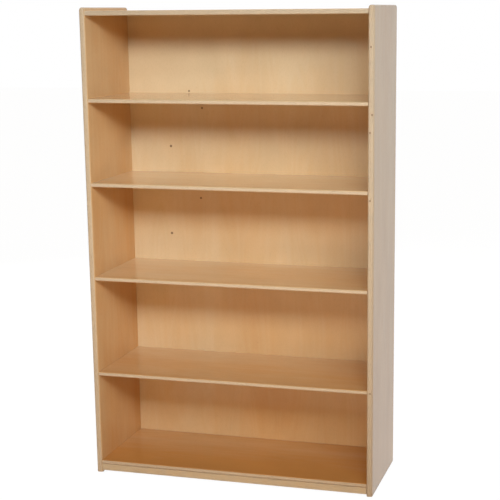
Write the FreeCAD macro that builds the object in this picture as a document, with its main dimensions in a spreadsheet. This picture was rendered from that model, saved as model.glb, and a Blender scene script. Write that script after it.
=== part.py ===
"""Open bookcase in birch plywood: two sides, a top, fixed shelves, a bottom shelf, a back and a toe board.

Frame: millimetres, +Z up, the open front faces -Y. The origin is on the floor, in the middle of the case.
The top, the shelves and the bottom sit in stopped housings, grooves in the sides that end short of the
front edge. The back lies in a rebate, flush with the rear edges.
"""
import os

import FreeCAD
import Part
import Sketcher

PARTS_FOLDER = "parts"

# Driving sizes, in millimetres. Openings are clear heights, counted from the top compartment down.
SIZES = {
    "overall_width": 914,
    "overall_depth": 343,
    "side_thickness": 18,
    "side_corner_radius": 10,
    "side_edge_radius": 6,
    "top_thickness": 15,
    "top_lip": 10,
    "top_edge_radius": 4,
    "shelf_thickness": 12,
    "shelf_edge_radius": 4,
    "shelf_setback": 2,
    "bottom_thickness": 12,
    "opening_1": 250,
    "opening_2": 248,
    "opening_3": 286,
    "opening_4": 299,
    "opening_5": 285,
    "housing_depth": 6,
    "housing_stop": 16,
    "back_thickness": 6,
    "back_rebate": 10,
    "toe_height": 22,
    "toe_thickness": 18,
    "toe_edge_radius": 2,
    "toe_gap": 6,
    "rail_thickness": 18,
    "block_length": 40,
    "block_width": 18,
    "block_bevel": 12,
    "block_spacing": 280,
    "dowel_diameter": 8,
    "dowel_length": 30,
    "dowel_in_side": 10,
    "glide_diameter": 15,
    "glide_height": 5,
    "glide_taper": 1.5,
    "glide_inset": 19,
    "stem_diameter": 6,
    "stem_length": 10,
    "staple_crown": 6,
    "staple_wire": 1.2,
    "staple_length": 22,
    "staple_edge": 60,
    "joint_clearance": 0.1,
}
SHELF_COUNT = 4
STAPLES_PER_ROW = 4
BLOCK_COUNT = 3

# Heights of the staples along a side, as shares of each opening.
SIDE_STAPLE_SHARES = (0.25, 0.75)

# A roundover takes at most this share of the thickness that carries it.
ROUNDOVER_SHARE = 0.45

# Two measured places closer than this, in millimetres, are the same place.
SAME_PLACE = 0.01

doc = FreeCAD.newDocument("Bookcase")
sheet = doc.addObject("Spreadsheet::Sheet", "Sizes")
for row, (name, value) in enumerate(SIZES.items(), start=1):
    sheet.set(f"A{row}", name)
    sheet.set(f"B{row}", str(value))
    sheet.setAlias(f"B{row}", name)
doc.recompute()


# Expressions, written as text so that every piece stays bound to the sheet.


def size(name):
    """Expression that reads one driving size."""
    return f"Sizes.{name}"


def total(*terms):
    """Expression for a sum."""
    return "(" + " + ".join(terms) + ")"


def less(first, *others):
    """Expression for the first term less all the others."""
    return "(" + " - ".join((first,) + others) + ")"


def half(term):
    """Expression for half of a term."""
    return f"({term} / 2)"


def times(factor, term):
    """Expression for a term times a plain number."""
    return f"({factor} * {term})"


def minus(term):
    """Expression for a term with its sign turned."""
    return times(-1, term)


def number(expression):
    """Value of an expression, as a plain number."""
    return float(sheet.evalExpression(expression))


def roundover(radius, thickness):
    """Expression for a roundover that its panel can always carry."""
    return f"min({size(radius)}; {times(ROUNDOVER_SHARE, size(thickness))})"


# Planes that several pieces share.
CLEARANCE = size("joint_clearance")
FRONT = minus(half(size("overall_depth")))
REAR = half(size("overall_depth"))
SHELF_FRONT = total(FRONT, size("shelf_setback"))
BACK_FRONT = less(REAR, size("back_thickness"))
INSIDE = less(half(size("overall_width")), size("side_thickness"))
BOARD_END = less(INSIDE, CLEARANCE)
HOUSING_FRONT = total(FRONT, size("housing_stop"))
HOUSING_LENGTH = less(BACK_FRONT, HOUSING_FRONT)
FLOOR = "0"
SIDE_BOTTOM = size("glide_height")
TOE_BOTTOM = total(SIDE_BOTTOM, size("toe_gap"))
TOE_MIDDLE = total(TOE_BOTTOM, half(size("toe_height")))
TOE_REAR = total(SHELF_FRONT, size("toe_thickness"))
RAIL_FRONT = less(BACK_FRONT, size("rail_thickness"))
BOTTOM_UNDER = total(TOE_BOTTOM, size("toe_height"))
BOTTOM_UPPER = total(BOTTOM_UNDER, size("bottom_thickness"))


def shelf_underside(place):
    """Height of the underside of a shelf, counted from 1 at the top: the sum of all that is below it."""
    terms = [BOTTOM_UPPER]
    for opening in range(place + 1, SHELF_COUNT + 2):
        terms.append(size(f"opening_{opening}"))
    terms.append(times(SHELF_COUNT - place, size("shelf_thickness")))
    return total(*terms)


def shelf_upper(place):
    """Height of the upper face of a shelf."""
    return total(shelf_underside(place), size("shelf_thickness"))


SHELVES = range(1, SHELF_COUNT + 1)
TOP_UNDER = total(shelf_upper(1), size("opening_1"))
TOP_UPPER = total(TOP_UNDER, size("top_thickness"))
SIDE_TOP = total(TOP_UPPER, size("top_lip"))

# Places of the fasteners, shared by the fasteners and the bores that take them.
SIDE_HANDS = {"left": -1, "right": 1}
GLIDE_PLACES = {"front": total(FRONT, size("glide_inset")), "rear": less(REAR, size("glide_inset"))}
SIDE_MIDDLE = half(size("side_thickness"))
GLIDE_ACROSS = total(INSIDE, SIDE_MIDDLE)
DOWEL_BORE = total(size("dowel_diameter"), CLEARANCE)
DOWEL_IN_RAIL = less(size("dowel_length"), size("dowel_in_side"))
TOE_CENTRE = total(SHELF_FRONT, half(size("toe_thickness")))
RAIL_CENTRE = total(RAIL_FRONT, half(size("rail_thickness")))
REBATE_MIDDLE = half(size("back_rebate"))
SIDE_SEAT = total(INSIDE, REBATE_MIDDLE)
STAPLE_SLOT = total(size("staple_wire"), CLEARANCE)
STAPLE_IN_WOOD = total(less(size("staple_length"), size("back_thickness")), CLEARANCE)
LEG_OFFSET = half(less(size("staple_crown"), size("staple_wire")))
ROW_END = less(INSIDE, size("staple_edge"))
COMPARTMENT_FLOORS = [shelf_upper(place) for place in SHELVES] + [BOTTOM_UPPER]
SIDE_STAPLES = [
    total(floor, times(share, size(f"opening_{place}")))
    for place, floor in enumerate(COMPARTMENT_FLOORS, start=1)
    for share in SIDE_STAPLE_SHARES
]
SHELF_MIDDLES = [total(shelf_underside(place), half(size("shelf_thickness"))) for place in SHELVES]
ROW_HEIGHTS = {
    "back_staples_top": [total(TOP_UNDER, half(size("top_thickness")))],
    "back_staples_shelves": SHELF_MIDDLES,
    "back_staples_base": [TOE_MIDDLE],
}
ROW_STAPLES = [
    times((2 * staple - STAPLES_PER_ROW + 1) / (STAPLES_PER_ROW - 1), ROW_END)
    for staple in range(STAPLES_PER_ROW)
]


# Sketches and features.


def new_body(label):
    """Empty body that carries one piece."""
    body = doc.addObject("PartDesign::Body", label)
    body.Label = label
    return body


def place_piece(piece, x="0", y="0", z="0"):
    """Binds the place of a piece to three expressions."""
    for axis, expression in (("x", x), ("y", y), ("z", z)):
        piece.setExpression(f"Placement.Base.{axis}", expression)


def new_sketch(body, name, plane, offset="0"):
    """Sketch on one of the body's own planes, moved along that plane's normal."""
    sketch = body.newObject("Sketcher::SketchObject", f"{body.Label}_{name}")
    support = next(item for item in body.Origin.OriginFeatures if item.Role == plane)
    sketch.AttachmentSupport = [(support, "")]
    sketch.MapMode = "FlatFace"
    sketch.setExpression("AttachmentOffset.Base.z", offset)
    return sketch


def bind(sketch, kind, *terms):
    """Adds one constraint, whose last term is the expression that drives it."""
    rule = Sketcher.Constraint(kind, *terms[:-1], number(terms[-1]))
    sketch.setExpression(f"Constraints[{sketch.addConstraint(rule)}]", terms[-1])


def pin_point(sketch, index, point, across, up):
    """Fixes one point of a line or circle at its distances from the sketch's origin."""
    bind(sketch, "DistanceX", -1, 1, index, point, across)
    bind(sketch, "DistanceY", -1, 1, index, point, up)


def add_lines(sketch, corners):
    """Closed run of straight lines through corners. Gives the number of its first line."""
    points = [FreeCAD.Vector(number(across), number(up), 0) for across, up in corners]
    first = sketch.GeometryCount
    count = len(points)
    for corner in range(count):
        sketch.addGeometry(Part.LineSegment(points[corner], points[(corner + 1) % count]))
    for corner in range(count):
        following = first + (corner + 1) % count
        sketch.addConstraint(Sketcher.Constraint("Coincident", first + corner, 2, following, 1))
    return first


def add_outline(sketch, corners):
    """Closed outline of straight lines through corners, each given by two expressions."""
    first = add_lines(sketch, corners)
    for place, corner in enumerate(corners):
        pin_point(sketch, first + place, 1, *corner)


def add_rectangle(sketch, left, low, width, height):
    """Closed rectangle with its lower left corner at a point."""
    right = total(left, width)
    high = total(low, height)
    base = add_lines(sketch, [(left, low), (right, low), (right, high), (left, high)])
    for line in (base, base + 2):
        sketch.addConstraint(Sketcher.Constraint("Horizontal", line))
    for line in (base + 1, base + 3):
        sketch.addConstraint(Sketcher.Constraint("Vertical", line))
    pin_point(sketch, base, 1, left, low)
    bind(sketch, "DistanceX", base, 1, base, 2, width)
    bind(sketch, "DistanceY", base + 1, 1, base + 1, 2, height)


def add_box(sketch, across, up, width, height):
    """Closed rectangle with its middle at a point."""
    add_rectangle(sketch, less(across, half(width)), less(up, half(height)), width, height)


def add_leg_slots(sketch, across, up, upright):
    """The two square slots for the legs of one staple, side by side or one above the other."""
    for hand in SIDE_HANDS.values():
        offset = times(hand, LEG_OFFSET)
        if upright:
            add_box(sketch, across, total(up, offset), STAPLE_SLOT, STAPLE_SLOT)
        else:
            add_box(sketch, total(across, offset), up, STAPLE_SLOT, STAPLE_SLOT)


def add_circle(sketch, across, up, diameter):
    """Circle about a point, with its diameter bound to an expression."""
    centre = FreeCAD.Vector(number(across), number(up), 0)
    index = sketch.addGeometry(Part.Circle(centre, FreeCAD.Vector(0, 0, 1), number(diameter) / 2))
    pin_point(sketch, index, 3, across, up)
    bind(sketch, "Diameter", index, diameter)


def pad(body, sketch, length, backwards=False):
    """Solid from a sketch, along its normal or against it."""
    feature = body.newObject("PartDesign::Pad", f"{sketch.Name}_pad")
    feature.Profile = sketch
    feature.Reversed = backwards
    feature.setExpression("Length", length)
    doc.recompute()


def pocket(body, sketch, depth, along_normal):
    """Cut from a sketch, along its normal or against it. It has to take material away."""
    volume = body.Shape.Volume
    feature = body.newObject("PartDesign::Pocket", f"{sketch.Name}_pocket")
    feature.Profile = sketch
    feature.Reversed = along_normal
    feature.setExpression("Length", depth)
    doc.recompute()
    if body.Shape.Volume >= volume:
        raise RuntimeError(f"{sketch.Name} cuts nothing")
    return feature


def repeat_across(body, cuts):
    """Repeats cuts made at the left end of a staple row, evenly up to its right end."""
    pattern = body.newObject("PartDesign::LinearPattern", f"{cuts[0].Name}_row")
    pattern.Originals = cuts
    pattern.Direction = (cuts[0].Profile[0], ["H_Axis"])
    pattern.Occurrences = STAPLES_PER_ROW
    pattern.setExpression("Length", times(2, ROW_END))
    body.Tip = pattern
    doc.recompute()


def mirror_across(body, cuts):
    """Repeats cuts made on the left half on the right half."""
    mirror = body.newObject("PartDesign::Mirrored", f"{cuts[0].Name}_mirror")
    mirror.Originals = cuts
    mirror.MirrorPlane = (cuts[0].Profile[0], ["V_Axis"])
    body.Tip = mirror
    doc.recompute()


def turn(body, sketch):
    """Turned solid from a half profile, about the sketch's upright axis."""
    feature = body.newObject("PartDesign::Revolution", f"{sketch.Name}_turned")
    feature.Profile = sketch
    feature.ReferenceAxis = (sketch, ["V_Axis"])
    feature.Angle = 360
    doc.recompute()


def round_edges(body, name, radius, chosen):
    """Roundover on those edges of the body for which the given test holds."""
    base = body.Tip
    edges = [f"Edge{place}" for place, edge in enumerate(base.Shape.Edges, start=1) if chosen(edge)]
    feature = body.newObject("PartDesign::Fillet", f"{body.Label}_{name}")
    feature.Base = (base, edges)
    feature.setExpression("Radius", radius)
    doc.recompute()


def lies_on(edge, axis, plane):
    """True where the ends and the middle of an edge lie on a plane square to an axis."""
    middle = edge.valueAt((edge.FirstParameter + edge.LastParameter) / 2)
    points = [vertex.Point for vertex in edge.Vertexes] + [middle]
    return all(abs(getattr(point, axis) - number(plane)) < SAME_PLACE for point in points)


def runs_along(edge, axis):
    """True for an edge that spans nothing but its own axis."""
    box = edge.BoundBox
    spans = {"x": box.XLength, "y": box.YLength, "z": box.ZLength}
    length = spans.pop(axis)
    return length > SAME_PLACE and max(spans.values()) < SAME_PLACE


def gather(label, form, places):
    """One piece made of linked copies of a form, each at a place given by three expressions."""
    copies = []
    for across, along, up in places:
        copy = doc.addObject("App::Link", f"{label}_copy")
        copy.LinkedObject = form
        place_piece(copy, across, along, up)
        copies.append(copy)
    group = doc.addObject("Part::Compound", label)
    group.Label = label
    group.Links = copies
    return group


# Panels.


def make_side(hand_name):
    """Side panel: rounded top corners, roundovers, a rebate for the back and a housing for each board.

    The body's own X = 0 is the inner face, and the panel grows outwards from it.
    """
    hand = SIDE_HANDS[hand_name]
    outwards = hand > 0
    body = new_body(f"{hand_name}_side")
    outer = times(hand, size("side_thickness"))
    outline = new_sketch(body, "outline", "YZ_Plane")
    add_rectangle(outline, FRONT, SIDE_BOTTOM, size("overall_depth"), less(SIDE_TOP, SIDE_BOTTOM))
    pad(body, outline, size("side_thickness"), backwards=not outwards)

    def is_top_corner(edge):
        return runs_along(edge, "x") and lies_on(edge, "z", SIDE_TOP)

    def is_rounded(edge):
        on_broad_face = lies_on(edge, "x", outer) or lies_on(edge, "x", "0")
        return on_broad_face and not lies_on(edge, "z", SIDE_BOTTOM)

    round_edges(body, "corners", size("side_corner_radius"), is_top_corner)
    round_edges(body, "roundover", roundover("side_edge_radius", "side_thickness"), is_rounded)

    rebate = new_sketch(body, "rebate", "YZ_Plane")
    past_rear = times(2, size("back_thickness"))
    add_rectangle(rebate, BACK_FRONT, FLOOR, past_rear, total(TOP_UPPER, CLEARANCE))
    pocket(body, rebate, size("back_rebate"), along_normal=outwards)

    housings = new_sketch(body, "housings", "YZ_Plane")
    boards = [(BOTTOM_UNDER, "bottom_thickness"), (TOP_UNDER, "top_thickness")]
    boards += [(shelf_underside(place), "shelf_thickness") for place in SHELVES]
    for underside, thickness in boards:
        height = total(size(thickness), times(2, CLEARANCE))
        add_rectangle(housings, HOUSING_FRONT, less(underside, CLEARANCE), HOUSING_LENGTH, height)
    pocket(body, housings, size("housing_depth"), along_normal=outwards)

    dowel_bores = new_sketch(body, "dowel_bores", "YZ_Plane")
    for along in (TOE_CENTRE, RAIL_CENTRE):
        add_circle(dowel_bores, along, TOE_MIDDLE, DOWEL_BORE)
    pocket(body, dowel_bores, total(size("dowel_in_side"), CLEARANCE), along_normal=outwards)

    slots = new_sketch(body, "staple_slots", "XZ_Plane", minus(BACK_FRONT))
    for up in SIDE_STAPLES:
        add_leg_slots(slots, times(hand, REBATE_MIDDLE), up, upright=True)
    pocket(body, slots, STAPLE_IN_WOOD, along_normal=True)

    stem_bores = new_sketch(body, "stem_bores", "XY_Plane", SIDE_BOTTOM)
    for along in GLIDE_PLACES.values():
        add_circle(stem_bores, times(hand, SIDE_MIDDLE), along, total(size("stem_diameter"), CLEARANCE))
    pocket(body, stem_bores, total(size("stem_length"), CLEARANCE), along_normal=True)

    place_piece(body, x=times(hand, INSIDE))
    return body


def slot_rear_edge(body, up):
    """Row of staple slots in the rear edge of a piece that the back is stapled to."""
    slots = new_sketch(body, "staple_slots", "XZ_Plane", minus(BACK_FRONT))
    add_leg_slots(slots, ROW_STAPLES[0], up, upright=False)
    repeat_across(body, [pocket(body, slots, STAPLE_IN_WOOD, along_normal=True)])


def make_board(label, thickness, edge_radius, underside, stapled=True):
    """Shelf, top or bottom, with a tongue at each end that enters its housing.

    The tongue is notched back from the front edge, so that the housing doesn't show.
    """
    body = new_body(label)
    tongue = less(total(INSIDE, size("housing_depth")), CLEARANCE)
    notch = total(HOUSING_FRONT, CLEARANCE)
    right_end = [(BOARD_END, SHELF_FRONT), (BOARD_END, notch), (tongue, notch), (tongue, BACK_FRONT)]
    left_end = [(minus(across), along) for across, along in reversed(right_end)]
    outline = new_sketch(body, "outline", "XY_Plane")
    add_outline(outline, right_end + left_end)
    pad(body, outline, size(thickness))

    def is_front_edge(edge):
        return runs_along(edge, "x") and lies_on(edge, "y", SHELF_FRONT)

    round_edges(body, "nosing", roundover(edge_radius, thickness), is_front_edge)
    if stapled:
        slot_rear_edge(body, half(size(thickness)))
    place_piece(body, z=underside)
    return body


def slot_back(body, name, places, upright):
    """Slots through the back for staples, whose crowns lie flush in its rear face."""
    crown = total(size("staple_crown"), CLEARANCE)
    width, height = (STAPLE_SLOT, crown) if upright else (crown, STAPLE_SLOT)
    crowns = new_sketch(body, f"{name}_crowns", "XZ_Plane", minus(REAR))
    legs = new_sketch(body, f"{name}_legs", "XZ_Plane", minus(REAR))
    for across, up in places:
        add_box(crowns, across, up, width, height)
        add_leg_slots(legs, across, up, upright)
    crown_cut = pocket(body, crowns, size("staple_wire"), along_normal=True)
    leg_cut = pocket(body, legs, size("back_thickness"), along_normal=True)
    return [crown_cut, leg_cut]


def make_back():
    """Back sheet, let into both sides and stapled to them and to each board but the bottom."""
    body = new_body("back_panel")
    edge = less(total(INSIDE, size("back_rebate")), CLEARANCE)
    outline = new_sketch(body, "outline", "XZ_Plane", minus(REAR))
    add_rectangle(outline, minus(edge), TOE_BOTTOM, times(2, edge), less(TOP_UPPER, TOE_BOTTOM))
    pad(body, outline, size("back_thickness"))
    left_seats = [(minus(SIDE_SEAT), up) for up in SIDE_STAPLES]
    mirror_across(body, slot_back(body, "side", left_seats, upright=True))
    row_starts = [(ROW_STAPLES[0], up) for up in sum(ROW_HEIGHTS.values(), [])]
    repeat_across(body, slot_back(body, "row", row_starts, upright=False))
    return body


def make_strip(label, front, thickness):
    """Strip under the bottom shelf, from side to side, with a dowel bore in each end."""
    body = new_body(label)
    outline = new_sketch(body, "outline", "XY_Plane")
    add_rectangle(outline, minus(BOARD_END), front, times(2, BOARD_END), size(thickness))
    pad(body, outline, size("toe_height"))
    for hand_name, hand in SIDE_HANDS.items():
        bore = new_sketch(body, f"{hand_name}_bore", "YZ_Plane", times(hand, BOARD_END))
        add_circle(bore, total(front, half(size(thickness))), half(size("toe_height")), DOWEL_BORE)
        pocket(body, bore, total(DOWEL_IN_RAIL, CLEARANCE), along_normal=hand < 0)
    place_piece(body, z=TOE_BOTTOM)
    return body


def make_toe_board():
    """Toe board: a strip with its two front edges eased."""
    body = make_strip("toe_board", SHELF_FRONT, "toe_thickness")

    def is_front_edge(edge):
        return runs_along(edge, "x") and lies_on(edge, "y", SHELF_FRONT)

    round_edges(body, "easing", roundover("toe_edge_radius", "toe_height"), is_front_edge)
    return body


def make_rear_rail():
    """Rear rail: the strip that the foot of the back is stapled to."""
    body = make_strip("rear_rail", RAIL_FRONT, "rail_thickness")
    slot_rear_edge(body, half(size("toe_height")))
    return body


# Fasteners, glides and blocks. A form is one fastener at the origin, which its group copies.


def make_staple_form(label, plane):
    """Staple of square wire, with its crown on the plane Y = 0 and its legs towards -Y.

    The crown runs along X in the XY plane, or along Z in the YZ plane.
    """
    body = new_body(label)
    wire = size("staple_wire")
    outer = half(size("staple_crown"))
    inner = less(outer, wire)
    point = minus(size("staple_length"))
    right_leg = [(outer, "0"), (outer, point), (inner, point), (inner, minus(wire))]
    left_leg = [(minus(across), along) for across, along in reversed(right_leg)]
    corners = right_leg + left_leg
    if plane == "YZ_Plane":
        corners = [(along, across) for across, along in corners]
    profile = new_sketch(body, "profile", plane, minus(half(wire)))
    add_outline(profile, corners)
    pad(body, profile, wire)
    return body


def make_dowel_form():
    """Dowel along X, centred on the origin."""
    body = new_body("dowel_form")
    profile = new_sketch(body, "profile", "YZ_Plane", minus(half(size("dowel_length"))))
    add_circle(profile, "0", "0", size("dowel_diameter"))
    pad(body, profile, size("dowel_length"))
    return body


def make_block_form():
    """Glue block along X: square in the corner that it fills, with its free corner bevelled off.

    The block's own Y = 0 is the rear face of the toe board. Its Z = 0 is the underside of the bottom shelf.
    """
    body = new_body("block_form")
    width = size("block_width")
    cut = less(width, f"min({size('block_bevel')}; {width})")
    profile = new_sketch(body, "profile", "YZ_Plane", minus(half(size("block_length"))))
    corners = [("0", "0"), ("0", minus(width)), (cut, minus(width)), (width, minus(cut)), (width, "0")]
    add_outline(profile, corners)
    pad(body, profile, size("block_length"))
    return body


def make_glide(hand_name, end_name):
    """Glide under a side: a round cap that narrows to the floor, on a stem that is pushed into the side."""
    body = new_body(f"glide_{end_name}_{hand_name}")
    radius = half(size("glide_diameter"))
    stem = half(size("stem_diameter"))
    stem_top = total(size("glide_height"), size("stem_length"))
    profile = new_sketch(body, "profile", "XZ_Plane")
    corners = [
        ("0", FLOOR),
        (less(radius, size("glide_taper")), FLOOR),
        (radius, size("glide_height")),
        (stem, size("glide_height")),
        (stem, stem_top),
        ("0", stem_top),
    ]
    add_outline(profile, corners)
    turn(body, profile)
    place_piece(body, x=times(SIDE_HANDS[hand_name], GLIDE_ACROSS), y=GLIDE_PLACES[end_name])
    return body


def dowel_pair(along):
    """Places of the two dowels of a strip, each bridging the strip's end and a side."""
    middle = total(INSIDE, less(size("dowel_in_side"), half(size("dowel_length"))))
    return [(times(hand, middle), along, TOE_MIDDLE) for hand in SIDE_HANDS.values()]


pieces = [make_side(side_name) for side_name in SIDE_HANDS]
pieces.append(make_board("top_panel", "top_thickness", "top_edge_radius", TOP_UNDER))
for shelf in SHELVES:
    underside = shelf_underside(shelf)
    pieces.append(make_board(f"shelf_{shelf}", "shelf_thickness", "shelf_edge_radius", underside))
bottom = make_board("bottom_shelf", "bottom_thickness", "shelf_edge_radius", BOTTOM_UNDER, stapled=False)
pieces.append(bottom)
pieces.append(make_back())
pieces.append(make_toe_board())
pieces.append(make_rear_rail())
pieces += [make_glide(side_name, end_name) for end_name in GLIDE_PLACES for side_name in SIDE_HANDS]

upright_form = make_staple_form("upright_staple_form", "YZ_Plane")
for side_name, side_hand in SIDE_HANDS.items():
    staple_places = [(times(side_hand, SIDE_SEAT), REAR, up) for up in SIDE_STAPLES]
    pieces.append(gather(f"back_staples_{side_name}", upright_form, staple_places))
level_form = make_staple_form("level_staple_form", "XY_Plane")
for label, heights in ROW_HEIGHTS.items():
    staple_places = [(across, REAR, up) for up in heights for across in ROW_STAPLES]
    pieces.append(gather(label, level_form, staple_places))
dowel_form = make_dowel_form()
pieces.append(gather("toe_board_dowels", dowel_form, dowel_pair(TOE_CENTRE)))
pieces.append(gather("rear_rail_dowels", dowel_form, dowel_pair(RAIL_CENTRE)))
block_places = [
    (times(block - (BLOCK_COUNT - 1) / 2, size("block_spacing")), TOE_REAR, BOTTOM_UNDER)
    for block in range(BLOCK_COUNT)
]
pieces.append(gather("glue_blocks", make_block_form(), block_places))
doc.recompute()

for item in doc.Objects:
    if "Invalid" in item.State or "Error" in item.State:
        raise RuntimeError(f"{item.Label} failed: {item.State}")
for piece in pieces:
    if piece.Shape.isNull() or not piece.Shape.isValid():
        raise RuntimeError(f"{piece.Label} has no valid shape")

os.makedirs(PARTS_FOLDER, exist_ok=True)
for piece in pieces:
    piece.Shape.exportStep(os.path.join(PARTS_FOLDER, f"{piece.Label}.step"))
    box = piece.Shape.BoundBox
    spans = f"{box.XLength:.1f} x {box.YLength:.1f} x {box.ZLength:.1f}"
    print(f"{piece.Label}: {len(piece.Shape.Solids)} solids, {spans} mm, {piece.Shape.Volume:.0f} mm3")
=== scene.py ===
# %% [markdown]
# # An open bookshelf in birch plywood
#
# The real object is a plain case: two sides with a low lip over the top, four thin fixed shelves, a full
# back and a low toe board. Every board was already modelled with its roundovers and joints, so this
# lesson leaves the shapes alone. It is about finish: plywood that is laminated all the way through,
# light, and a camera.
#
# The model is loaded as a fixed frame in metres. Every piece sits at the origin with its place in its
# mesh, so the Object coordinates of each piece are the coordinates of the whole bookshelf.

# %% Load the frame and keep its box
import math

import bpy
import numpy as np
from mathutils import Matrix, Vector


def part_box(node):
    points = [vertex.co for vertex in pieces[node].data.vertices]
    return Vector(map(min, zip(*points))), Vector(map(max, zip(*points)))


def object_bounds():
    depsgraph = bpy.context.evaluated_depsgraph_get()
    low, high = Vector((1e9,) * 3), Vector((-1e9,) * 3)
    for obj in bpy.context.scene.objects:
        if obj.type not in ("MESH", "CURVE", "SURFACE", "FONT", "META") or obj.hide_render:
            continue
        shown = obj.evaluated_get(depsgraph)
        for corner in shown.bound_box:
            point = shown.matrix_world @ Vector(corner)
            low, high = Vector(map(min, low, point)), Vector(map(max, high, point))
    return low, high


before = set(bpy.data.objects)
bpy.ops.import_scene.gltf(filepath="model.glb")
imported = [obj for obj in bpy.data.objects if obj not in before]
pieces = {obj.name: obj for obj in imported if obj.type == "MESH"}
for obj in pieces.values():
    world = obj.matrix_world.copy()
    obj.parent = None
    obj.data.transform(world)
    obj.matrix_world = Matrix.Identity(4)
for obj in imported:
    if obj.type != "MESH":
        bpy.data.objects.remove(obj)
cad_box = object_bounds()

print("pieces:", len(pieces), "box:", [tuple(round(v, 4) for v in corner) for corner in cad_box])

# %% [markdown]
# ## The camera
#
# The photograph looks at the case from the right, from about the height of its top, and slightly down. A
# camera can be dragged about by eye, but here it was solved: lines that are easy to see, such as the
# edges of the sides and the undersides of the shelves, were matched to the model until the mean error was
# under two pixels. What is left is a turn, a tilt, a small roll, a place and a focal length in pixels.
#
# The photograph was cropped from a larger picture, so its centre isn't where the lens pointed. A lens
# shift says that without bending the verticals.

# %% Place the camera
IMAGE_WIDTH = 500
SENSOR_MM = 36.0
CAMERA_PLACE = Vector((1.2196, -3.8136, 1.4700))
CAMERA_TURN, CAMERA_TILT, CAMERA_ROLL = (math.radians(a) for a in (15.62, 11.87, -0.478))
FOCAL_PIXELS = 1279.4
LENS_CENTRE = (290.0, 280.0)


def camera_axes(turn, tilt, roll):
    """Right, up and back directions of a camera that turns left from +Y, tilts down, then rolls."""
    ahead = Vector((-math.sin(turn) * math.cos(tilt), math.cos(turn) * math.cos(tilt), -math.sin(tilt)))
    level = Vector((math.cos(turn), math.sin(turn), 0.0))
    over = level.cross(ahead)
    right = math.cos(roll) * level + math.sin(roll) * over
    up = -math.sin(roll) * level + math.cos(roll) * over
    return right, up, -ahead


lens = bpy.data.cameras.new("shelf_camera")
lens.sensor_fit = "HORIZONTAL"
lens.sensor_width = SENSOR_MM
lens.lens = FOCAL_PIXELS / IMAGE_WIDTH * SENSOR_MM
lens.shift_x = (IMAGE_WIDTH / 2 - LENS_CENTRE[0]) / IMAGE_WIDTH
lens.shift_y = (LENS_CENTRE[1] - IMAGE_WIDTH / 2) / IMAGE_WIDTH
camera = bpy.data.objects.new("shelf_camera", lens)
bpy.context.scene.collection.objects.link(camera)
facing = Matrix(camera_axes(CAMERA_TURN, CAMERA_TILT, CAMERA_ROLL)).transposed()
camera.matrix_world = Matrix.Translation(CAMERA_PLACE) @ facing.to_4x4()
bpy.context.scene.camera = camera
print("lens:", round(lens.lens, 2), "mm, shift:", round(lens.shift_x, 3), round(lens.shift_y, 3))

# %% [markdown]
# ## Small tools for shader nodes
#
# A node tree can be drawn by hand in the Shader Editor, or written. Written, it needs only three helpers:
# one that adds a node and fills its sockets with numbers or other sockets, one for arithmetic, and one
# for mixing two colours. Everything below is built from them.

# %% Node helpers
def put(tree, kind, sockets=None, **settings):
    """Add a node. Each socket, by name or number, gets a value or a link from another socket."""
    made = tree.nodes.new("ShaderNode" + kind)
    for name, value in settings.items():
        setattr(made, name, value)
    for key, value in (sockets or {}).items():
        if isinstance(value, bpy.types.NodeSocket):
            tree.links.new(value, made.inputs[key])
        else:
            made.inputs[key].default_value = value
    return made


def calc(tree, operation, *values):
    """The result of one Math node on up to three values or sockets."""
    return put(tree, "Math", dict(enumerate(values)), operation=operation).outputs[0]


def spread(tree, value, low, high, start, end):
    """The value carried from the range low..high to the range start..end, and held at its ends."""
    sockets = {"Value": value, "From Min": low, "From Max": high, "To Min": start, "To Max": end}
    return put(tree, "MapRange", sockets).outputs[0]


def tint(tree, share, first, second, way="MIX"):
    """Two colours mixed: share 0 keeps the first, share 1 gives the second or its effect."""
    sockets = {0: share, 6: first, 7: second}
    return put(tree, "Mix", sockets, data_type="RGBA", blend_type=way).outputs[2]


def vector(tree, x, y, z):
    """Three values or sockets joined into one vector."""
    return put(tree, "CombineXYZ", {0: x, 1: y, 2: z}).outputs[0]


def noise(tree, where, scale, detail=2.0, rough=0.5, bend=0.0):
    """Soft noise from 0 to 1 with its middle near 0.5."""
    sockets = {"Vector": where, "Scale": scale, "Detail": detail, "Roughness": rough, "Distortion": bend}
    return put(tree, "TexNoise", sockets).outputs[0]


def new_finish(name):
    """An empty material with its shader: the material, its tree, the shader and the piece's coordinates."""
    material = bpy.data.materials.new(name)
    material.use_nodes = True
    tree = material.node_tree
    tree.nodes.clear()
    shader = put(tree, "BsdfPrincipled")
    put(tree, "OutputMaterial", {"Surface": shader.outputs[0]})
    place = put(tree, "TexCoord").outputs["Object"]
    return material, tree, shader, place


print("node helpers: put, calc, spread, tint, vector, noise, new_finish")

# %% [markdown]
# ## Birch plywood, all the way through
#
# Plywood is a stack of thin sheets glued with the grain crossed. On a face one sees a single veneer
# peeled from a log: pale, with faint flames along the grain. On an edge one sees the stack, and where an
# edge is rounded the stripes widen as they run out to the face.
#
# Painting stripes on the edges would need a seam at every roundover. Here the material is solid instead:
# the depth of a point through the board tells in which sheet it lies, and the first and last sheets are
# the veneers. The same rule then draws flat faces, edges and roundovers.

# %% Colours of the wood
VENEER_PALE = (0.725, 0.520, 0.310, 1.0)
VENEER_DEEP = (0.640, 0.300, 0.080, 1.0)
# painted shade colour: darkens patches of a face to stand for the shimmer of tilted fibres
VENEER_SHADE = (0.500, 0.440, 0.360, 1.0)
CORE_LONG = (0.640, 0.460, 0.305, 1.0)
CORE_END = (0.545, 0.380, 0.240, 1.0)
GLUE_LINE = (0.300, 0.165, 0.080, 1.0)
PIN_KNOT = (0.120, 0.055, 0.022, 1.0)
# grey of worn outlines, and of painted shade and sheen on rounded edges and the toe board
HANDLED_AND_SHADED = (0.330, 0.275, 0.215, 1.0)
AXES = {"x": 0, "y": 1, "z": 2}
print("birch from", VENEER_DEEP[:3], "to", VENEER_PALE[:3])


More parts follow.
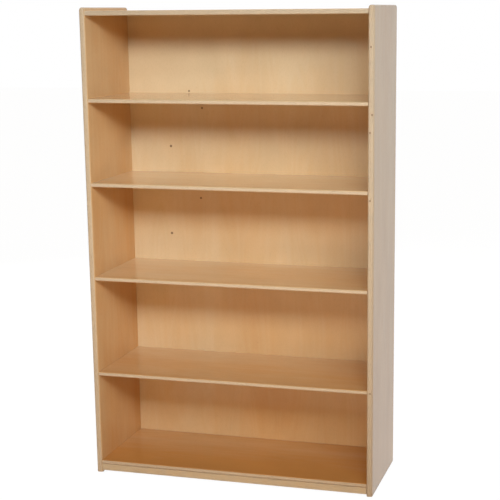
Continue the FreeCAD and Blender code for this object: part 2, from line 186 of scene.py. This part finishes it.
# %% Which sheet of the plywood a point is in
def sheets(tree, place, piece, thick, grain, plies, seed):
    """Depth through the board, counted in sheets, and a vector that runs along the grain of that sheet.

    The sheet is the whole part of the depth. Every second sheet is turned, so its grain and cross directions
    change places. The third part of the vector is the sheet's number, so that no two sheets look alike.
    """
    low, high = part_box(piece)
    axis = AXES[thick]
    along = AXES[grain]
    across = 3 - axis - along
    parts = put(tree, "SeparateXYZ", {0: place}).outputs
    slope = plies / (high[axis] - low[axis])
    depth = calc(tree, "MULTIPLY_ADD", parts[axis], slope, -low[axis] * slope)
    sheet = calc(tree, "MINIMUM", calc(tree, "MAXIMUM", calc(tree, "FLOOR", depth), 0.0), plies - 1.0)
    turned = calc(tree, "MODULO", sheet, 2.0)
    run = put(tree, "Mix", {0: turned, 2: parts[along], 3: parts[across]}).outputs[0]
    side = put(tree, "Mix", {0: turned, 2: parts[across], 3: parts[along]}).outputs[0]
    layer = calc(tree, "MULTIPLY_ADD", sheet, 3.7, seed)
    return parts, depth, sheet, turned, vector(tree, run, side, layer)


def stretched(tree, where, along, across, layer=1.0):
    """The grain vector scaled apart: so many cycles to the metre along the grain and across it."""
    scaled = put(tree, "VectorMath", {0: where, 1: (along, across, layer)}, operation="MULTIPLY")
    return scaled.outputs[0]


print("sheets() and stretched() give the grain directions of each layer")


# %% The figure of one veneer
CLOUD_SWING, FLAME_SWING, STREAK_SWING, FIBRE_SWING = 0.16, 0.030, 0.028, 0.018
FLAME_RINGS = 62.0
# how far the painted shimmer shade darkens a face
PAINTED_SHIMMER_DEPTH = 0.14
PORE_DEPTH = 0.22


def veneer_figure(tree, where):
    """What cloud, flames, streaks and fibres add to the depth of colour; then the fibres and pores alone.

    Flames are the height lines of a slow noise: a sine of it gives rings that close on themselves, as where a
    knife peels through the years of a tree. The rest is noise drawn out along the grain, finer each time.
    """
    cloud = noise(tree, stretched(tree, where, 0.9, 4.5), 1.0, 2.0, 0.55, 0.3)
    hill = noise(tree, stretched(tree, where, 1.6, 11.0), 1.0, 1.0, 0.45, 0.5)
    flame = calc(tree, "SINE", calc(tree, "MULTIPLY", hill, FLAME_RINGS))
    streak = noise(tree, stretched(tree, where, 1.6, 52.0), 1.0, 2.0, 0.6)
    fibre = noise(tree, stretched(tree, where, 22.0, 620.0), 1.0, 2.0, 0.6)
    pore = spread(tree, noise(tree, stretched(tree, where, 130.0, 2300.0), 1.0, 0.0), 0.66, 0.74, 0.0, 1.0)
    figure = spread(tree, cloud, 0.30, 0.70, -CLOUD_SWING, CLOUD_SWING)
    finer = (
        (flame, -1.0, 1.0, FLAME_SWING),
        (streak, 0.30, 0.70, STREAK_SWING),
        (fibre, 0.25, 0.75, FIBRE_SWING),
    )
    for pattern, low, high, swing in finer:
        figure = calc(tree, "ADD", figure, spread(tree, pattern, low, high, -swing, swing))
    return figure, fibre, pore


def depth_of_colour(tree, parts, low, high, along, across, amber, drift):
    """Amber along the grain, from stop to stop at equal steps, plus its drift across: own tone and painted
    shade.
    """
    first = amber[0] - drift / 2
    tone_and_shade = spread(tree, parts[across], low[across], high[across], first, first + drift)
    stops = np.linspace(low[along], high[along], len(amber)).tolist()
    for start, end, gain in zip(stops, stops[1:], np.diff(amber).tolist()):
        tone_and_shade = calc(tree, "ADD", tone_and_shade, spread(tree, parts[along], start, end, 0.0, gain))
    return tone_and_shade


def veneer_face(tree, where, tone_and_shade, figure, pore):
    """Colour of a face: pale to deep by tone, painted shade and figure, darker where shimmer is painted, dark
    in pores.
    """
    face = tint(tree, calc(tree, "ADD", figure, tone_and_shade), VENEER_PALE, VENEER_DEEP)
    # painted shade: slow noise darkens patches of the face, standing for the shimmer of tilted fibres
    painted_shimmer = noise(tree, stretched(tree, where, 4.5, 7.5), 1.0, 3.0, 0.5, 0.4)
    shaded = spread(tree, painted_shimmer, 0.32, 0.68, PAINTED_SHIMMER_DEPTH, 0.0)
    face = tint(tree, shaded, face, VENEER_SHADE, "MULTIPLY")
    return tint(tree, calc(tree, "MULTIPLY", pore, PORE_DEPTH), face, GLUE_LINE)


print("veneer_figure(), depth_of_colour() and veneer_face() draw the faces")


# %% The sheets inside, knots and wear
CORE_PORE_DEPTH = 0.35
GLUE_STRENGTH = 0.50
KNOT_CELLS_LEFT_OUT = 0.80


def inner_sheets(tree, depth, turned, fibre, pore):
    """Colour of the sheets between the veneers, and how strongly each point shows a line of glue."""
    core = tint(tree, turned, CORE_LONG, CORE_END)
    core = tint(tree, spread(tree, fibre, 0.30, 0.70, 0.30, 0.0), core, CORE_END)
    core = tint(tree, calc(tree, "MULTIPLY", pore, CORE_PORE_DEPTH), core, GLUE_LINE)
    within = calc(tree, "FRACT", depth)
    from_glue = calc(tree, "MINIMUM", within, calc(tree, "SUBTRACT", 1.0, within))
    glue = spread(tree, from_glue, 0.03, 0.10, GLUE_STRENGTH, 0.0)
    return tint(tree, glue, core, GLUE_LINE), glue


def pin_knots(tree, place, where, chosen_places):
    """Small round knots, 1 in the middle and 0 outside.

    A few cells of a coarse cell pattern carry one each. So does every chosen place, a centre with a radius.
    """
    cells = put(tree, "TexVoronoi", {"Vector": stretched(tree, where, 5.0, 5.0, 0.31), "Scale": 1.0})
    lot = put(tree, "SeparateColor", {0: cells.outputs["Color"]}).outputs[0]
    carries = calc(tree, "GREATER_THAN", lot, KNOT_CELLS_LEFT_OUT)
    knot = calc(tree, "MULTIPLY", carries, spread(tree, cells.outputs["Distance"], 0.004, 0.011, 1.0, 0.0))
    for centre, radius in chosen_places:
        away = put(tree, "VectorMath", {0: place, 1: centre}, operation="DISTANCE").outputs["Value"]
        knot = calc(tree, "MAXIMUM", knot, spread(tree, away, 0.35 * radius, radius, 1.0, 0.0))
    return knot


# rim mask: real wear together with painted shade and sheen on rounded edges
def rim_wear_and_shade(tree, place, parts, low, high, ways, reach):
    """1 on the outline of a board and 0 at some reach inside it, broken up by noise.

    The distance from the outline is the least of the four distances from the board's own low and high limits.
    """
    rim = 1.0
    for way in ways:
        from_low = calc(tree, "SUBTRACT", parts[way], low[way])
        from_high = calc(tree, "SUBTRACT", high[way], parts[way])
        rim = calc(tree, "MINIMUM", rim, calc(tree, "MINIMUM", from_low, from_high))
    patchy = spread(tree, noise(tree, place, 38.0, 3.0, 0.6), 0.30, 0.70, 0.55, 1.0)
    return calc(tree, "MULTIPLY", spread(tree, rim, 0.0, reach, 1.0, 0.0), patchy)


def emboss(tree, shader, height, strength, distance):
    """Let a height be felt as a bump of at most so many metres."""
    bump = put(tree, "Bump", {"Height": height, "Strength": strength, "Distance": distance})
    tree.links.new(bump.outputs[0], shader.inputs["Normal"])


print("inner_sheets(), pin_knots(), rim_wear_and_shade() and emboss() are ready")

# %% [markdown]
# A whole board mixes these. The veneers take the cloud and the flames. The inner sheets are plain: long
# grain is pale and the ends of fibres are darker because they drink more lacquer. A thin dark line of
# glue runs between two sheets. Painted shade stands for the shimmer: a slow noise darkens the patches
# where fibres tilt away from the face. The outline of each board is greyed, partly as edges get from hands
# and partly as painted shade and sheen on the rounded edges and the toe board. The lacquer is satin: its
# roughness follows the fibres, the pores are felt as a bump, and shelves can have a second coat, which
# mirrors the lit back where one looks along the shelf.

# %% The plywood finish
KNOT_DEPTH = 0.95
CORE_DULLING, WEAR_DULLING = 0.05, 0.08


def birch_plywood(piece, thick, grain, plies, amber, drift, worn, coats, seed, knots=()):
    """Satin-lacquered plywood for one board; amber says how deep its veneer is, 0 pale and 1 deep.

    Amber is given at equal steps from the low to the high end of the grain, and drift is what it gains across
    the grain. Both are partly the sheet's own tone and partly painted shade, deeper where less light falls.
    Worn is how far the outline has greyed and how far in that reaches, partly wear and partly painted shade
    and sheen, and coats is the weight of a second lacquer over the first. Knots are places in metres, with
    a radius each, besides the scattered ones.
    """
    material, tree, shader, place = new_finish("birch_plywood." + piece)
    parts, depth, sheet, turned, where = sheets(tree, place, piece, thick, grain, plies, seed)
    low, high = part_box(piece)
    along = AXES[grain]
    across = 3 - AXES[thick] - along

    figure, fibre, pore = veneer_figure(tree, where)
    tone_and_shade = depth_of_colour(tree, parts, low, high, along, across, amber, drift)
    face = veneer_face(tree, where, tone_and_shade, figure, pore)
    core, glue = inner_sheets(tree, depth, turned, fibre, pore)
    is_first = calc(tree, "LESS_THAN", sheet, 0.5)
    is_last = calc(tree, "GREATER_THAN", sheet, plies - 1.5)
    outer = calc(tree, "MAXIMUM", is_first, is_last)
    wood = tint(tree, outer, core, face)

    greyed, reach = worn
    # painted shade and sheen with wear: the outline of the board greyed
    wear_and_shade = rim_wear_and_shade(tree, place, parts, low, high, (along, across), reach)
    wood = tint(tree, calc(tree, "MULTIPLY", wear_and_shade, greyed), wood, HANDLED_AND_SHADED)
    knot = pin_knots(tree, place, where, knots)
    wood = tint(tree, calc(tree, "MULTIPLY", knot, KNOT_DEPTH), wood, PIN_KNOT)
    tree.links.new(wood, shader.inputs["Base Color"])

    satin = spread(tree, fibre, 0.25, 0.75, 0.20, 0.25)
    satin = calc(tree, "MULTIPLY_ADD", calc(tree, "SUBTRACT", 1.0, outer), CORE_DULLING, satin)
    satin = calc(tree, "MULTIPLY_ADD", wear_and_shade, WEAR_DULLING, satin)
    tree.links.new(satin, shader.inputs["Roughness"])
    shader.inputs["Specular IOR Level"].default_value = 0.30
    shader.inputs["Coat Weight"].default_value = coats
    shader.inputs["Coat Roughness"].default_value = 0.14

    relief = calc(tree, "MULTIPLY_ADD", pore, -0.6, fibre)
    relief = calc(tree, "MULTIPLY_ADD", knot, -0.8, relief)
    relief = calc(tree, "MULTIPLY_ADD", glue, -0.5, relief)
    emboss(tree, shader, relief, 0.10, 0.00015)
    return material


print("birch_plywood() is ready")

# %% [markdown]
# ## One finish for each board
#
# Boards cut from different sheets never match exactly, so each has its own seed and its own depth of
# colour. The depth of colour is also painted shade: the shelves deepen from the top one to the bottom
# one and the sides at their low ends, where less light falls, and each shelf pales towards the back. The
# grain follows the long side of each board, as a joiner lays it: up the sides, along the shelves. The
# number of sheets is what plywood of that thickness has: 13 in 18 mm, 11 in 15 mm, 9 in 12 mm.

# %% Dress the boards
EIGHTEEN_MM, FIFTEEN_MM, TWELVE_MM = 13, 11, 9
# how far each outline greys and how far in: partly wear, partly painted shade and sheen; on the toe board it
# greys the whole face
CLEAN_EDGE, HANDLED_AND_SHADED_EDGE, SCUFFED_AND_SHADED = (0.10, 0.008), (0.20, 0.009), (0.60, 0.040)
RUBBED_AND_SHADED_TOP, RUBBED_AND_SHADED_SIDE = (0.40, 0.012), (0.44, 0.010)
# painted shade in amber and drift: the shelves deepen from top to bottom, each side deepens at its low end,
# each shelf pales towards the back
BOARDS = {
    "left_side": ("x", "z", EIGHTEEN_MM, (0.60, 0.46), 0.16, HANDLED_AND_SHADED_EDGE, 0.0, 1.3),
    "right_side": ("x", "z", EIGHTEEN_MM, (0.36, 0.18), 0.0, RUBBED_AND_SHADED_SIDE, 0.0, 7.9),
    "top_panel": ("z", "x", FIFTEEN_MM, (0.16, 0.22), -0.10, RUBBED_AND_SHADED_TOP, 0.0, 13.1),
    "shelf_1": ("z", "x", TWELVE_MM, (0.06, 0.18), -0.12, CLEAN_EDGE, 0.6, 19.7),
    "shelf_2": ("z", "x", TWELVE_MM, (0.10, 0.24), -0.16, CLEAN_EDGE, 0.6, 23.3),
    "shelf_3": ("z", "x", TWELVE_MM, (0.26, 0.42), -0.34, CLEAN_EDGE, 0.5, 29.9),
    "shelf_4": ("z", "x", TWELVE_MM, (0.46, 0.62), -0.44, CLEAN_EDGE, 0.4, 37.1),
    "bottom_shelf": ("z", "x", TWELVE_MM, (0.82, 0.94), -0.30, HANDLED_AND_SHADED_EDGE, 0.3, 41.3),
    "toe_board": ("y", "x", EIGHTEEN_MM, (0.22, 0.18), 0.0, SCUFFED_AND_SHADED, 0.0, 47.9),
    "rear_rail": ("y", "x", EIGHTEEN_MM, (0.26, 0.30), 0.0, HANDLED_AND_SHADED_EDGE, 0.0, 53.9),
}


def dress(piece, material):
    """Put one material in every slot of a piece."""
    for slot in pieces[piece].material_slots:
        slot.material = material


FRONT = cad_box[0][1]
EDGE_KNOT_RADIUS = 0.0035
EDGE_KNOT_PLACES = (
    (0.4475, 1.3676), (0.4514, 1.1743), (0.4458, 1.1223), (0.4467, 0.9235), (0.4495, 0.3348))
EDGE_KNOTS = {"right_side": [((x, FRONT, z), EDGE_KNOT_RADIUS) for x, z in EDGE_KNOT_PLACES]}
for piece, choice in BOARDS.items():
    dress(piece, birch_plywood(piece, *choice, EDGE_KNOTS.get(piece, ())))
print("boards dressed:", len(BOARDS))

# %% [markdown]
# ## The back
#
# The back is one thin sheet of five veneers with its grain upright. In the photograph it is the largest
# surface that the eye rests on, and it is almost plain, with five pin knots in its left half. They are
# placed where the photograph has them; each place is on the sheet's front face, in metres.

# %% Dress the back
SIX_MM = 5
# painted shade: the back deepens in colour towards the bottom of the case
BACK_AMBER_AND_SHADE = (0.40, 0.34, 0.24, 0.28, 0.15, -0.20)
BACK_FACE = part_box("back_panel")[0].y
BACK_KNOTS = [
    ((-0.2305, BACK_FACE, 1.2169), 0.0045),
    ((-0.1868, BACK_FACE, 1.1622), 0.0045),
    ((-0.2985, BACK_FACE, 1.0357), 0.0055),
    ((-0.1974, BACK_FACE, 0.8651), 0.0045),
    ((-0.3034, BACK_FACE, 0.7432), 0.0055),
]
BACK_DRIFT, BACK_COATS, BACK_SEED = 0.30, 0.0, 59.3
back_finish = birch_plywood("back_panel", "y", "z", SIX_MM, BACK_AMBER_AND_SHADE, BACK_DRIFT, CLEAN_EDGE,
                            BACK_COATS, BACK_SEED, BACK_KNOTS)
dress("back_panel", back_finish)
print("back dressed with", len(BACK_KNOTS), "placed knots on the plane y =", round(BACK_FACE, 4))

# %% [markdown]
# ## Dowels and glue blocks
#
# These are solid birch, not plywood, and get no lacquer inside the case. Turned dowels show long fibres;
# a block shows growth rings on its ends. One finish does both: rings about an axis far to one side are
# nearly straight lines on a small piece, which is how a block sawn from a wide board looks.

# %% Solid birch
BOARD_PALE = (0.740, 0.540, 0.330, 1.0)
BOARD_DEEP = (0.600, 0.400, 0.215, 1.0)


def solid_birch(name):
    """Unfinished birch with its grain along x: rings in the y-z plane, fibres along x."""
    material, tree, shader, place = new_finish(name)
    parts = put(tree, "SeparateXYZ", {0: place}).outputs
    wobble = noise(tree, stretched(tree, place, 0.15, 1.0), 30.0, 2.0)
    radius = calc(tree, "ADD", calc(tree, "MULTIPLY", parts[1], 0.4), parts[2])
    phase = calc(tree, "MULTIPLY_ADD", wobble, 3.0, calc(tree, "MULTIPLY", radius, 2400.0))
    ring = spread(tree, calc(tree, "SINE", phase), -1.0, 1.0, 0.15, 0.60)
    fibre = noise(tree, stretched(tree, place, 30.0, 900.0, 900.0), 1.0)
    deepness = calc(tree, "ADD", ring, spread(tree, fibre, 0.25, 0.75, -0.2, 0.2))
    tree.links.new(tint(tree, deepness, BOARD_PALE, BOARD_DEEP), shader.inputs["Base Color"])
    tree.links.new(spread(tree, fibre, 0.25, 0.75, 0.62, 0.78), shader.inputs["Roughness"])
    emboss(tree, shader, fibre, 0.3, 0.0002)
    return material


bare_birch = solid_birch("solid_birch")
for piece in ("toe_board_dowels", "rear_rail_dowels", "glue_blocks"):
    dress(piece, bare_birch)
print("solid birch on dowels and blocks")

# %% [markdown]
# ## Glides and staples
#
# The glides are moulded in grey plastic with a fine spark-eroded skin, which is a small, even bump. They
# scuff where they slide, so they are rougher and paler towards the floor. The staples are galvanised
# wire: metal, with a blotchy zinc skin that changes both its colour and its gloss.

# %% Grey plastic
GLIDE_GREY = (0.270, 0.262, 0.252, 1.0)
GLIDE_SCUFF = (0.420, 0.410, 0.395, 1.0)


def glide_plastic(name):
    """Moulded plastic: a fine skin everywhere, and scuffs that fade out 2 mm above the floor."""
    material, tree, shader, place = new_finish(name)
    skin = noise(tree, place, 2600.0, 1.0)
    blotch = noise(tree, place, 420.0, 3.0, 0.6)
    height = put(tree, "SeparateXYZ", {0: place}).outputs[2]
    near_floor = spread(tree, height, 0.0003, 0.002, 1.0, 0.0)
    worn = calc(tree, "MULTIPLY", near_floor, spread(tree, blotch, 0.35, 0.65, 0.2, 1.0))
    tree.links.new(tint(tree, worn, GLIDE_GREY, GLIDE_SCUFF), shader.inputs["Base Color"])
    tree.links.new(spread(tree, worn, 0.0, 1.0, 0.42, 0.68), shader.inputs["Roughness"])
    emboss(tree, shader, skin, 0.35, 0.0001)
    return material


grey_plastic = glide_plastic("glide_plastic")
for piece in ("glide_front_left", "glide_front_right", "glide_rear_left", "glide_rear_right"):
    dress(piece, grey_plastic)
print("glides dressed")

# %% Galvanised wire
ZINC_BRIGHT = (0.660, 0.665, 0.660, 1.0)
ZINC_DULL = (0.430, 0.435, 0.440, 1.0)


def staple_steel(name):
    """Zinc on steel wire: blotches from a mid-sized noise, fine scratches from a stretched one."""
    material, tree, shader, place = new_finish(name)
    blotch = noise(tree, place, 900.0, 3.0, 0.6)
    scratch = noise(tree, stretched(tree, place, 400.0, 6000.0, 6000.0), 1.0)
    shader.inputs["Metallic"].default_value = 1.0
    dulled = spread(tree, blotch, 0.35, 0.65, 0.0, 1.0)
    tree.links.new(tint(tree, dulled, ZINC_BRIGHT, ZINC_DULL), shader.inputs["Base Color"])
    tree.links.new(spread(tree, blotch, 0.35, 0.65, 0.30, 0.52), shader.inputs["Roughness"])
    emboss(tree, shader, scratch, 0.2, 0.00005)
    return material


zinc_wire = staple_steel("staple_steel")
staples = [name for name in pieces if name.startswith("back_staples")]
for piece in staples:
    dress(piece, zinc_wire)
print("staple groups dressed:", len(staples))

# %% [markdown]
# ## The stage
#
# The photograph has a plain white ground. A floor that is white because it is flooded with light would
# wash out the wood, so it is white only to the camera and to reflections: for those rays it gives off
# light of its own and keeps a little ordinary shading, which is where the faint shadow under the case
# comes from. For every other ray it is just a pale floor that sends light up into the lower shelves.

# %% The floor
FLOOR_SIZE = 40.0


def seen_directly(tree):
    """1 for camera, glossy and transmission rays, 0 for the rays that carry light about."""
    path = put(tree, "LightPath").outputs
    mirror = calc(tree, "MAXIMUM", path["Is Glossy Ray"], path["Is Transmission Ray"])
    return calc(tree, "MAXIMUM", path["Is Camera Ray"], mirror)


def level_sheet(name, size):
    """A flat square about the origin: four corners from two signs each."""
    u, v = np.meshgrid((-0.5, 0.5), (-0.5, 0.5))
    corners = np.stack((u * size, v * size, np.zeros_like(u)), axis=-1).reshape(-1, 3)
    mesh = bpy.data.meshes.new(name)
    mesh.from_pydata(corners.tolist(), [], [(0, 1, 3, 2)])
    sheet = bpy.data.objects.new(name, mesh)
    bpy.context.scene.collection.objects.link(sheet)
    return sheet


floor = level_sheet("studio_floor", FLOOR_SIZE)
floor_finish = bpy.data.materials.new("studio_white")
floor_finish.use_nodes = True
floor_tree = floor_finish.node_tree
floor_tree.nodes.clear()
paint = put(floor_tree, "BsdfDiffuse", {"Color": (0.80, 0.80, 0.80, 1.0)})
shade = put(floor_tree, "BsdfDiffuse", {"Color": (0.05, 0.05, 0.05, 1.0)})
glow = put(floor_tree, "Emission", {"Color": (1.0, 1.0, 1.0, 1.0), "Strength": 0.985})
white = put(floor_tree, "AddShader", {0: glow.outputs[0], 1: shade.outputs[0]})
seen = seen_directly(floor_tree)
ground = put(floor_tree, "MixShader", {0: seen, 1: paint.outputs[0], 2: white.outputs[0]})
put(floor_tree, "OutputMaterial", {"Surface": ground.outputs[0]})
floor.data.materials.append(floor_finish)
print("floor:", FLOOR_SIZE, "m square")

# %% [markdown]
# ## The room around it
#
# The world does three jobs. The camera sees it as plain white. Rays that carry light see a weak, warm
# glow, because what reaches a shaded corner of such a case has already bounced off wood. Reflections see
# white too, but darker in front of the case, where a photographer's room has no white wall; otherwise a
# pale veil would lie on the back.

# %% The world
AMBIENT = 0.130
AMBIENT_HUE = (1.0, 0.54, 0.09, 1.0)
WHITE = (1.0, 1.0, 1.0, 1.0)
DARK_FRONT = 0.20
world = bpy.data.worlds.new("studio")
bpy.context.scene.world = world
world.use_nodes = True
world_tree = world.node_tree
world_tree.nodes.clear()
direct = seen_directly(world_tree)
mirror = put(world_tree, "LightPath").outputs["Is Glossy Ray"]
heading = put(world_tree, "SeparateXYZ", {0: put(world_tree, "TexCoord").outputs["Generated"]}).outputs[1]
room = spread(world_tree, heading, -0.9, -0.2, DARK_FRONT, 1.0)
shine = put(world_tree, "Mix", {0: mirror, 2: 1.0, 3: room}).outputs[0]
level = put(world_tree, "Mix", {0: direct, 2: AMBIENT, 3: shine}).outputs[0]
hue = tint(world_tree, direct, AMBIENT_HUE, WHITE)
sky = put(world_tree, "Background", {"Color": hue, "Strength": level})
put(world_tree, "OutputWorld", {"Surface": sky.outputs[0]})
print("ambient light:", AMBIENT)

# %% [markdown]
# ## Light
#
# The shadows in the photograph say where the lamps stood. Each shelf throws a soft band on the back, and
# the band gets deeper from the top shelf to the bottom one. Two bands are enough to solve for one lamp:
# it stood 3.6 m in front of the case and 2.6 m up. The bands run level and only fade towards the right,
# so the light was wide: here it is a row of five spots, from straight ahead to far right, parallel to the
# front of the case.
#
# A second, weaker row stands higher. Its light passes over a shelf and lands only on the lower part of
# the back behind it, which is the brightest part of each compartment in the photograph. A warm card on
# the floor lifts the lowest compartment, and two fills behind and above light the faces that the
# photograph doesn't show. The lamps themselves are kept out of reflections, as polarising film on lamps
# and lens does, so no lamp glares in the lacquer.

# %% Lamps
def aim(lamp_object, target):
    """Turn a lamp so that it shines at a point."""
    direction = Vector(target) - lamp_object.location
    lamp_object.rotation_euler = direction.to_track_quat("-Z", "Y").to_euler()


def lamp(name, kind, place, target, watts, **settings):
    """A lamp at a place, aimed at a target."""
    data = bpy.data.lights.new(name, kind)
    data.energy = watts
    for key, value in settings.items():
        setattr(data, key, value)
    made = bpy.data.objects.new(name, data)
    bpy.context.scene.collection.objects.link(made)
    made.location = place
    made.visible_glossy = False
    aim(made, target)
    return made


ROW_DISTANCE = 3.57
KEY_HEIGHT, HIGH_HEIGHT = 2.59, 3.30
KEY_TARGET, HIGH_TARGET = (-0.05, 0.0, 1.57), (-0.05, 0.0, 0.15)
KEY_WATTS = {4.0: 161.0, 15.0: 164.0, 27.0: 171.0, 39.0: 169.0, 50.0: 127.0}
HIGH_WATTS = {10.0: 144.0, 27.0: 152.0, 44.0: 96.0}


def lamp_row(name, watts_by_angle, height, target, softness, cone, colour):
    """Spots side by side, parallel to the front of the case, each at its angle to the right of it."""
    for number, (angle, watts) in enumerate(watts_by_angle.items()):
        stand = (ROW_DISTANCE * math.tan(math.radians(angle)), FRONT - ROW_DISTANCE, height)
        lamp(f"{name}_{number + 1}", "SPOT", stand, target, watts, shadow_soft_size=softness,
             spot_size=math.radians(cone), spot_blend=1.0, color=colour)


lamp_row("key", KEY_WATTS, KEY_HEIGHT, KEY_TARGET, 0.40, 46.0, (0.80, 0.93, 1.0))
lamp_row("high", HIGH_WATTS, HIGH_HEIGHT, HIGH_TARGET, 0.50, 38.0, (0.86, 0.95, 1.0))
lamp("low_card", "AREA", (0.25, -1.7, 0.08), (0.05, 0.1, 0.30), 15.0,
     shape="RECTANGLE", size=1.7, size_y=0.7, color=(1.0, 0.78, 0.50))
lamp("rear_fill", "AREA", (-1.8, 2.8, 1.8), (0.0, 0.17, 0.75), 92.0,
     shape="RECTANGLE", size=2.0, size_y=2.0)
lamp("top_fill", "AREA", (0.0, 0.5, 3.6), (0.0, 0.0, 1.48), 17.0,
     shape="RECTANGLE", size=1.5, size_y=1.0)

# %% [markdown]
# ## View
#
# The Standard view shows colours as they are written.

# %% Finish
bpy.context.scene.view_settings.view_transform = "Standard"
